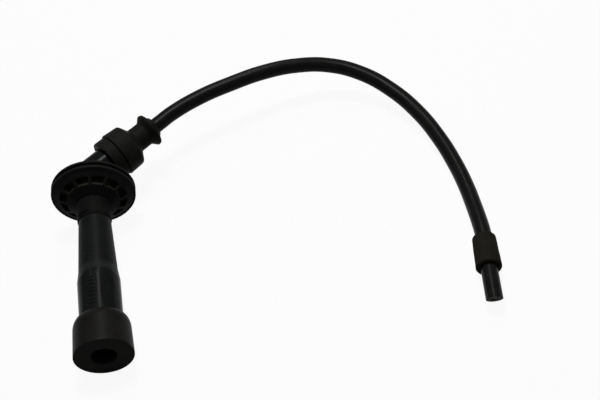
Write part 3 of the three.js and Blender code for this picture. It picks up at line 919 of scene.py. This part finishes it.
# Outline of the plug's contact: radius, height and corner radius in mm
CONTACT_OUTLINE = (
    (0, -39.5, 0), (3.3, -39.5, 0.3), (3.3, -45.05, 0), (4.15, -45.05, 0.1), (4.15, -46.35, 0.1),
    (3.3, -46.35, 0), (3.3, -49.1, 0.5), (5.6, -49.1, 0.3), (5.6, -47.8, 0.2), (4.8, -47.8, 0.1),
    (4.8, -35.6, 0.4), (3.0, -35.6, 0.1), (3.0, -33.0, 0.3), (0, -33.0, 0),
)

# The rows of raised bars: depth of the first bar and its width in mm, and for the upper row pitch
# and number too; then the bars' middle and half width round the barrel, and their height; and the
# share of the height by which their edges are rounded
LOWER_ROW = (49.6, 0.85)
UPPER_ROW = (25.5, 1.1, 2.4, 6)
LOWER_RELIEF = (-5 * DEG, 10 * DEG, 0.22 * MM)
UPPER_RELIEF = (-9 * DEG, 9 * DEG, 0.10 * MM)
BAR_ROUNDING = 0.45

# How the cover's disc is bent and pushed out of true, and how far along the sleeve that fades out
DISC_FLEX = {"Z": 2.43 * DEG, "X": 1.92 * DEG}
DISC_SHIFT = (0.30 * MM, -0.18 * MM, 0.22 * MM)
DISC_BLEND = 8 * MM

# How far the soft boot sits off the outlet's axis
BOOT_SHIFT = (-0.35 * MM, 0.25 * MM, 0)


def bar_bands(cap):
    """Start and end depths of the raised bars on the barrel, in mm: the upper row, the lower row."""
    def row(first, width, pitch, count):
        starts = [first + pitch * i for i in range(count)]
        return [(start, start + width) for start in starts]

    return row(*UPPER_ROW), row(*LOWER_ROW, cap.bar_pitch / MM, cap.bar_count)


def barrel_outline(cap):
    """The barrel's outline from its end up to the elbow, with edges where the bars start and end."""
    barrel, waist, top, neck = in_mm(cap, "barrel_radius", "waist_radius", "top_radius", "neck_radius")
    end, waist_depth, step_length, elbow = in_mm(
        cap, "barrel_depth", "waist_depth", "step_length", "elbow_height"
    )
    shoulder = bpy.context.scene.well_cover.sleeve_depth / MM + 0.02
    upper, lower = bar_bands(cap)
    outline = [(0, -end, 0), (barrel, -end, 0.5)]
    outline += [(barrel, -depth, 0) for band in reversed(lower) for depth in reversed(band)]
    outline += [(barrel, -waist_depth - step_length, 1.2), (waist, -waist_depth, 1.6)]
    for band in reversed(upper):
        for depth in reversed(band):
            share = (waist_depth - depth) / (waist_depth - shoulder)
            outline.append((waist + (top - waist) * share, -depth, 0))
    outline += [(top, -shoulder, 0.35), (neck, -shoulder, 0)]
    return outline + [(neck, elbow, 0), (0, elbow, 0)]


def raise_bars(barrel, bands, centre, half_width, height):
    """Raises a row of short plain bars out of the barrel's surface."""
    def in_a_bar(place, normal):
        turn = math.atan2(place.x, place.z)
        depth = -place.y / MM
        inside = any(low < depth < high for low, high in bands)
        return inside and abs(turn - centre) < half_width and abs(normal.y) < 0.5

    pick_faces(barrel, in_a_bar)
    bpy.ops.mesh.extrude_region_shrink_fatten(TRANSFORM_OT_shrink_fatten={"value": height})
    bpy.ops.mesh.bevel(offset=height * BAR_ROUNDING, segments=2, affect="EDGES")
    put_down()


class PLUGWIRE_OT_cap_body(bpy.types.Operator):
    """Makes the hard moulded cap: stepped barrel, elbow and cable outlet, with its bores"""

    bl_idname = "plugwire.cap_body"
    bl_label = "Cap Body"

    def execute(self, context):
        cap = context.scene.plug_cap
        end, bore, narrow, outlet_radius, reach = in_mm(
            cap, "barrel_depth", "bore_radius", "resistor_bore", "outlet_radius", "outlet_reach"
        )
        body = turned("cap_moulding", barrel_outline(cap), closed=False)
        upper, lower = bar_bands(cap)
        raise_bars(body, lower, *LOWER_RELIEF)
        raise_bars(body, upper, *UPPER_RELIEF)
        outlet = turned("outlet", [
            *((outlet_radius * math.cos(a * DEG), outlet_radius * math.sin(a * DEG), 0)
              for a in range(-90, 0, 5)),
            (outlet_radius, 0, 0),
            (outlet_radius, reach, 0.4),
            (0, reach, 0),
        ], closed=False)
        elbow = Matrix.Translation((0, cap.elbow_height, 0)) @ Matrix.Rotation(-cap.outlet_angle, 4, "Z")
        outlet.matrix_world = elbow
        combine(body, outlet, "UNION")
        plug_bore = turned("plug_bore", [
            (0, -end - 1, 0), (bore + 1.6, -end - 1, 0), (bore, -end + 0.6, 0),
            (bore, -CONTACT_SEAT, 0), (CONTACT_BORE, -CONTACT_SEAT, 0),
            (CONTACT_BORE, -CONTACT_BORE_END, 0), (narrow, -CONTACT_BORE_END, 0),
            (narrow, ELBOW_BORE_TOP, 0), (0, ELBOW_BORE_TOP, 0),
        ], closed=False)
        combine(body, plug_bore, "DIFFERENCE")
        cable_bore = turned("cable_bore", [
            (0, 0, 0), (SCREW_BORE, 0, 0), (SCREW_BORE, CABLE_BORE_START, 0),
            (CABLE_BORE, CABLE_BORE_START, 0), (CABLE_BORE, reach + 1, 0), (0, reach + 1, 0),
        ], closed=False, around=48)
        cable_bore.matrix_world = elbow
        combine(body, cable_bore, "DIFFERENCE")
        dress(body, moulding_finish())
        settle(body, cap_place(), "cap_moulding", "cap_body")
        return {"FINISHED"}


def flex_disc(cover, nose_depth):
    """Bends the rubber disc a little out of true on its sleeve, as it rests on the floor."""
    pick_faces(cover, lambda place, normal: place.y > -nose_depth)
    soft = {
        "use_proportional_edit": True,
        "proportional_edit_falloff": "SMOOTH",
        "proportional_size": DISC_BLEND,
    }
    for axis, turn in DISC_FLEX.items():
        bpy.ops.transform.rotate(value=turn, orient_axis=axis, center_override=(0, 0, 0), **soft)
    bpy.ops.transform.translate(value=DISC_SHIFT, **soft)
    put_down()


def cover_outline(sizes, cap):
    """The cover's outline from the sleeve's end up the front, round both rims and to the hub."""
    radius, thick, nose, nose_depth, sleeve = in_mm(
        sizes, "radius", "thickness", "nose_radius", "nose_depth", "sleeve_radius"
    )
    inner, outer, deep = in_mm(sizes, "pocket_inner", "pocket_outer", "sleeve_depth")
    groove = radius - sizes.groove / MM
    rim = radius - sizes.rim_width / MM
    bore = (cap.neck_radius + GAP) / MM
    bulge = math.sqrt(cap.outlet_radius ** 2 - cap.neck_radius ** 2)
    back = (cap.elbow_height - bulge - GAP) / MM

    def on_cone(distance):
        return -nose_depth * (rim - distance) / (rim - nose)

    return [
        (bore, -deep, 0), (sleeve - 0.45, -deep, 0.1), (sleeve, -deep + 1.1, 0.6),
        (sleeve, SLOT_START / MM, 0), (sleeve, SLOT_END / MM, 0),
        (sleeve, -nose_depth - 0.4, 0.15), (sleeve - 0.3, -nose_depth - 0.1, 0.1),
        (nose - 0.25, -nose_depth, 0.1), (nose + 0.05, on_cone(nose + 0.3), 0.1),
        (inner, on_cone(inner), 0), (outer, on_cone(outer), 0),
        (rim, 0, 0.3), (radius, 0, 0.35), (radius, RIM_EDGE, 0.3),
        (groove, RIM_FOOT, 0.35), (groove, thick - RIM_FOOT, 0.35),
        (radius, thick - RIM_EDGE, 0.3), (radius, thick, 0.45),
        (bore + HUB_WALL, thick, 1.0), (bore + HUB_WALL, back, 0.6), (bore, back, 0),
    ]


def cut_slot(cover, radius):
    """Cuts the short slot into the side of the cover's sleeve."""
    def in_the_slot(place, normal):
        turn = math.atan2(place.x, place.z) + POCKET_TURN
        on_sleeve = abs(math.hypot(place.x, place.z) - radius) < 0.1 * MM
        in_turn = SLOT_TURN[0] < turn < SLOT_TURN[1]
        return on_sleeve and in_turn and SLOT_START < place.y < SLOT_END

    pick_faces(cover, in_the_slot)
    bpy.ops.mesh.extrude_region_shrink_fatten(TRANSFORM_OT_shrink_fatten={"value": -SLOT_SINK})


def press_pockets(cover, sizes):
    """Presses the pockets between the ribs to one flat floor, and leaves them selected."""
    pitch = 2 * math.pi / sizes.pockets

    def in_a_pocket(place, normal):
        turn = math.atan2(place.z, place.x) % pitch
        distance = math.hypot(place.x, place.z)
        on_face = sizes.pocket_inner < distance < sizes.pocket_outer and place.y < 0
        return on_face and turn < pitch * (1 - RIB_STEPS / POCKET_STEPS)

    pick_faces(cover, in_a_pocket)
    floor = sizes.pocket_floor
    bpy.ops.mesh.extrude_region_move(TRANSFORM_OT_translate={"value": (0, floor, 0)})
    bpy.ops.transform.resize(value=(1, 0, 1), center_override=(0, floor, 0))
    bpy.ops.mesh.select_more()


class PLUGWIRE_OT_well_cover(bpy.types.Operator):
    """Makes the rubber cover: two rims, a cone with pockets between ribs, and a sleeve"""

    bl_idname = "plugwire.well_cover"
    bl_label = "Well Cover"

    def execute(self, context):
        sizes = context.scene.well_cover
        outline = cover_outline(sizes, context.scene.plug_cap)
        cover = turned("well_cover_rubber", outline, around=POCKET_STEPS * sizes.pockets)
        dress(cover, rubber_finish("cover_rubber"))
        # Painted shade: the cone's nose and the sleeve, inside the pockets, get the darker copy of the
        # cover rubber
        inner = sizes.pocket_inner
        pick_faces(cover, lambda place, normal: place.y < 0 and math.hypot(place.x, place.z) < inner)
        give_to_selected(cover, rubber_finish("cover_sleeve"))
        cut_slot(cover, sizes.sleeve_radius)
        press_pockets(cover, sizes)
        # The pockets get the lighter brownish rubber: dust, and painted light that lifts them out of
        # their shade
        give_to_selected(cover, rubber_finish("cover_recess"))
        put_down()
        apply_modifier(
            cover, "BEVEL", width=0.22 * MM, segments=2, limit_method="ANGLE", angle_limit=50 * DEG
        )
        wear_uneven(cover, height=0.14 * MM, size=9 * MM)
        cover.matrix_world = Matrix.Rotation(POCKET_TURN, 4, "Y")
        take_up(cover)
        bpy.ops.object.transform_apply(location=True, rotation=True, scale=True)
        flex_disc(cover, sizes.nose_depth)
        settle(cover, cap_place(), "cover_rubber", "well_cover")
        return {"FINISHED"}


class PLUGWIRE_OT_mouth_seal(bpy.types.Operator):
    """Makes the rubber seal over the barrel's end, with its round hole"""

    bl_idname = "plugwire.mouth_seal"
    bl_label = "Mouth Seal"

    def execute(self, context):
        sizes = context.scene.mouth_seal
        cap = context.scene.plug_cap
        top, mouth, bend = in_mm(sizes, "top_depth", "mouth_depth", "shoulder_length")
        shoulder, rim, hole = in_mm(sizes, "shoulder_radius", "mouth_radius", "hole_radius")
        bore = (cap.barrel_radius + GAP) / MM
        end = (cap.barrel_depth + GAP) / MM
        lip = bore + 0.2
        grip = bore - 0.2
        curve = [
            (lip + (shoulder - lip) * math.sin(a * DEG), -top - bend * (1 - math.cos(a * DEG)), 0)
            for a in range(90, 0, -6)
        ]
        seal = turned("mouth_seal_rubber", [
            (hole, -mouth, 0.6), (rim, -mouth, 0.3), *curve, (lip, -top, 0),
            (grip, -top, 0.1), (grip, -top - 1.5, 0), (bore, -top - 2, 0),
            (bore, -end, 0), (hole + 0.5, -end, 0.5), (hole, -end - 2.5, 2), (hole, -mouth + 2, 0),
        ])
        wear_uneven(seal, height=0.10 * MM, size=12 * MM)
        dress(seal, rubber_finish("seal_rubber"))
        # Painted light: the flat end face gets the lighter copy of the seal rubber with less specular
        pick_faces(seal, lambda place, normal: normal.y < -0.8 and place.y < (2 - mouth) * MM)
        give_to_selected(seal, rubber_finish("seal_face"))
        put_down()
        settle(seal, cap_place(), "seal_rubber", "mouth_seal")
        return {"FINISHED"}


class PLUGWIRE_OT_cable_boot(bpy.types.Operator):
    """Makes the rubber boot over the outlet, from its collar to the lip round the cable"""

    bl_idname = "plugwire.cable_boot"
    bl_label = "Cable Boot"

    def execute(self, context):
        sizes = context.scene.cable_boot
        cap = context.scene.plug_cap
        start, step, corner, neck, flare, lip = in_mm(
            sizes, "start", "step", "corner", "neck", "flare", "lip"
        )
        collar, body, far = in_mm(sizes, "collar_radius", "body_radius", "corner_radius")
        thin, lip_radius, end_radius = in_mm(sizes, "neck_radius", "lip_radius", "end_radius")
        outlet, reach = in_mm(cap, "outlet_radius", "outlet_reach")
        end = BOOT_END_REACH / MM
        bore = context.scene.plug_cable.radius / MM + 0.15
        boot = turned("cable_boot_rubber", [
            (outlet + 0.1, start, 0), (collar, start, 0.55), (collar, step - 0.45, 0.2),
            (collar - 0.3, step - 0.25, 0), (collar - 0.3, step, 0), (body, step, 0.4),
            (far, corner, 1.3), (thin, neck, 1.2), (thin - 0.1, flare, 2.0),
            (lip_radius, lip - 0.2, 0.6), (lip_radius - 0.3, lip + 0.9, 0.6),
            (end_radius + 0.5, lip + 2.0, 1.0), (end_radius, end - 0.4, 0.4),
            (bore, end - 0.3, 0), (bore, reach + 0.4, 0), (outlet + 0.1, reach + 0.4, 0),
        ])
        wear_uneven(boot, height=0.22 * MM, size=7 * MM)
        dress(boot, rubber_finish("boot_rubber"))
        settle(boot, outlet_place() @ Matrix.Translation(BOOT_SHIFT), "boot_rubber", "cable_boot")
        return {"FINISHED"}


class PLUGWIRE_OT_inner_parts(bpy.types.Operator):
    """Makes the plug's contact, and gives the clip and the other inner parts their finishes"""

    bl_idname = "plugwire.inner_parts"
    bl_label = "Inner Parts"

    def execute(self, context):
        finishes = context.scene.plug_finishes
        brass = metal_finish("contact_brass", finishes.brass, 0.32)
        steel = metal_finish("spring_steel", finishes.steel, 0.3)
        ceramic = plain_finish("resistor_ceramic", finishes.ceramic, 0.6, 0.03 * MM)
        contact = turned("plug_contact_brass", CONTACT_OUTLINE, closed=False, around=64)
        dress(contact, brass)
        settle(contact, cap_place(), "contact_brass", "plug_contact")
        for name, material in (
            ("plug_clip", steel),
            ("resistor_cap_lower", steel),
            ("resistor_cap_upper", steel),
            ("contact_spring", steel),
            ("outlet_bush", brass),
            ("cable_screw", brass),
            ("resistor_rod", ceramic),
        ):
            dress(frame["nodes"][name], material)
        return {"FINISHED"}


class PLUGWIRE_PT_sidebar(bpy.types.Panel):
    """Lists the build steps in the 3D view's sidebar"""

    bl_label = "Plug Wire"
    bl_space_type = "VIEW_3D"
    bl_region_type = "UI"
    bl_category = "Plug Wire"

    def draw(self, context):
        for operator in STEPS:
            self.layout.operator(operator.bl_idname)


STEPS = (
    PLUGWIRE_OT_stage,
    PLUGWIRE_OT_coil_sleeve,
    PLUGWIRE_OT_cable,
    PLUGWIRE_OT_cap_body,
    PLUGWIRE_OT_well_cover,
    PLUGWIRE_OT_mouth_seal,
    PLUGWIRE_OT_cable_boot,
    PLUGWIRE_OT_inner_parts,
)
CLASSES = (*GROUPS.values(), *STEPS, PLUGWIRE_PT_sidebar)


def register():
    """Registers the classes and gives the scene their property groups."""
    for item in CLASSES:
        bpy.utils.register_class(item)
    for name, group in GROUPS.items():
        setattr(bpy.types.Scene, name, PointerProperty(type=group))


def unregister():
    """Takes away what register() made."""
    for name in GROUPS:
        delattr(bpy.types.Scene, name)
    for item in reversed(CLASSES):
        bpy.utils.unregister_class(item)


def main():
    """Builds the stage and every piece."""
    register()
    bpy.ops.plugwire.stage()
    bpy.ops.plugwire.coil_sleeve()
    bpy.ops.plugwire.cable()
    bpy.ops.plugwire.cap_body()
    bpy.ops.plugwire.well_cover()
    bpy.ops.plugwire.mouth_seal()
    bpy.ops.plugwire.cable_boot()
    bpy.ops.plugwire.inner_parts()
    put_down()


if __name__ == "__main__":
    main()
